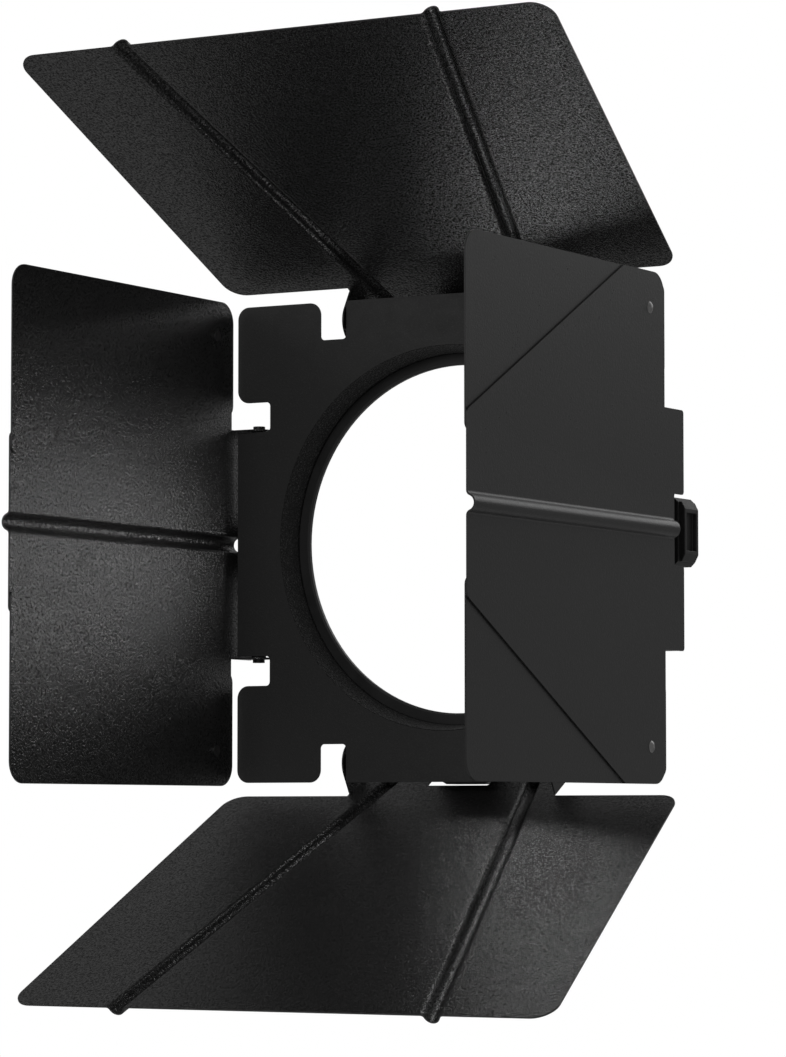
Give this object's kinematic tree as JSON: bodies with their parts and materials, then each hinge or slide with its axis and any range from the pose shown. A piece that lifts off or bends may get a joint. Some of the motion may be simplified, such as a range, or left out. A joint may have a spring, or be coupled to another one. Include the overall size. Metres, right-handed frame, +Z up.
{
  "type": "barn door attachment",
  "caption": "Square black barn door frame with a round light opening, hinged sheet leaves, swivelling side wings and sprung claws that grip a lamp's front rim.",
  "frame": {"origin": "on the optical axis, at the seat of the rear collar where the lamp's nose rests", "axes": "-Y is the way the light leaves, +Y points back to the lamp, +Z up, +X to the right seen from the front"},
  "size_m": [0.4102, 0.3342, 0.6528],
  "materials": {
    "plate_coat": "matte",
    "leaf_coat": "satin",
    "wing_coat": "satin",
    "sleeve_texture": "matte",
    "ring_satin": "satin",
    "black_steel": "satin",
    "zinc_steel": "satin",
    "spring_steel": "satin",
    "rivet_metal": "satin",
    "washer_nylon": "matte",
    "guide_nylon": "matte",
    "claw_nylon": "satin"
  },
  "bodies": {
    "frame": {"front_plate": "plate_coat", "aperture_ring": "sleeve_texture", "rear_ring": "ring_satin", "standoffs": "zinc_steel", "standoff_nuts": "zinc_steel", "hinge_pins": "black_steel", "friction_washers": "washer_nylon", "hinge_disc_springs": "spring_steel", "hinge_nuts": "zinc_steel", "clinch_studs": "zinc_steel", "stud_nuts": "zinc_steel", "guide_pins": "zinc_steel", "hinge_lugs_top": "black_steel", "claw_guide_top": "guide_nylon", "claw_spring_top": "spring_steel", "hinge_lugs_right": "black_steel", "claw_guide_right": "guide_nylon", "claw_spring_right": "spring_steel", "hinge_lugs_bottom": "black_steel", "claw_guide_bottom": "guide_nylon", "claw_spring_bottom": "spring_steel", "hinge_lugs_left": "black_steel", "claw_guide_left": "guide_nylon", "claw_spring_left": "spring_steel"},
    "leaf_top_body": {"leaf_top": "leaf_coat"},
    "rim_claw_top_body": {"rim_claw_top": "claw_nylon"},
    "leaf_right_body": {"leaf_right": "leaf_coat", "wing_rivets_right": "rivet_metal", "wing_washers_right": "washer_nylon"},
    "rim_claw_right_body": {"rim_claw_right": "claw_nylon"},
    "leaf_bottom_body": {"leaf_bottom": "leaf_coat"},
    "rim_claw_bottom_body": {"rim_claw_bottom": "claw_nylon"},
    "leaf_left_body": {"leaf_left": "leaf_coat", "wing_rivets_left": "rivet_metal", "wing_washers_left": "washer_nylon"},
    "rim_claw_left_body": {"rim_claw_left": "claw_nylon"},
    "wing_left_upper_body": {"wing_left_upper": "wing_coat"},
    "wing_left_lower_body": {"wing_left_lower": "wing_coat"},
    "wing_right_upper_body": {"wing_right_upper": "wing_coat"},
    "wing_right_lower_body": {"wing_right_lower": "wing_coat"}
  },
  "joints": [
    {"name": "leaf_top_hinge", "type": "hinge", "parent": "frame", "child": "leaf_top_body", "pos_m": [0, -0.0162, 0.1572], "axis": [-1, 0, 0], "range_deg": [-27, 14.5]},
    {"name": "leaf_right_hinge", "type": "hinge", "parent": "frame", "child": "leaf_right_body", "pos_m": [0.1572, -0.0162, 0], "axis": [0, 0, -1], "range_deg": [-45, 87]},
    {"name": "leaf_bottom_hinge", "type": "hinge", "parent": "frame", "child": "leaf_bottom_body", "pos_m": [0, -0.0162, -0.1572], "axis": [1, 0, 0], "range_deg": [-27, 14.5]},
    {"name": "leaf_left_hinge", "type": "hinge", "parent": "frame", "child": "leaf_left_body", "pos_m": [-0.1572, -0.0162, 0], "axis": [0, 0, -1], "range_deg": [-87, 45]},
    {"name": "wing_left_upper_swivel", "type": "hinge", "parent": "leaf_left_body", "child": "wing_left_upper_body", "pos_m": [-0.1722, -0.0497, 0.1484], "axis": [-1, 0, 0], "range_deg": [0, 30]},
    {"name": "wing_left_lower_swivel", "type": "hinge", "parent": "leaf_left_body", "child": "wing_left_lower_body", "pos_m": [-0.1722, -0.0497, -0.1484], "axis": [1, 0, 0], "range_deg": [0, 30]},
    {"name": "wing_right_upper_swivel", "type": "hinge", "parent": "leaf_right_body", "child": "wing_right_upper_body", "pos_m": [0.1722, -0.0497, 0.1484], "axis": [1, 0, 0], "range_deg": [-30, 0]},
    {"name": "wing_right_lower_swivel", "type": "hinge", "parent": "leaf_right_body", "child": "wing_right_lower_body", "pos_m": [0.1722, -0.0497, -0.1484], "axis": [-1, 0, 0], "range_deg": [-30, 0]},
    {"name": "rim_claw_top_slide", "type": "slide", "parent": "frame", "child": "rim_claw_top_body", "axis": [0, 0, -1], "range_m": [-0.005, 0], "stiffness_N_per_m": 1200, "springref_m": 0.003, "deforming": ["claw_spring_top"]},
    {"name": "rim_claw_right_slide", "type": "slide", "parent": "frame", "child": "rim_claw_right_body", "axis": [1, 0, 0], "range_m": [0, 0.005], "stiffness_N_per_m": 1200, "springref_m": -0.003, "deforming": ["claw_spring_right"]},
    {"name": "rim_claw_bottom_slide", "type": "slide", "parent": "frame", "child": "rim_claw_bottom_body", "axis": [0, 0, 1], "range_m": [-0.005, 0], "stiffness_N_per_m": 1200, "springref_m": 0.003, "deforming": ["claw_spring_bottom"]},
    {"name": "rim_claw_left_slide", "type": "slide", "parent": "frame", "child": "rim_claw_left_body", "axis": [1, 0, 0], "range_m": [-0.005, 0], "stiffness_N_per_m": 1200, "springref_m": 0.003, "deforming": ["claw_spring_left"]}
  ]
}
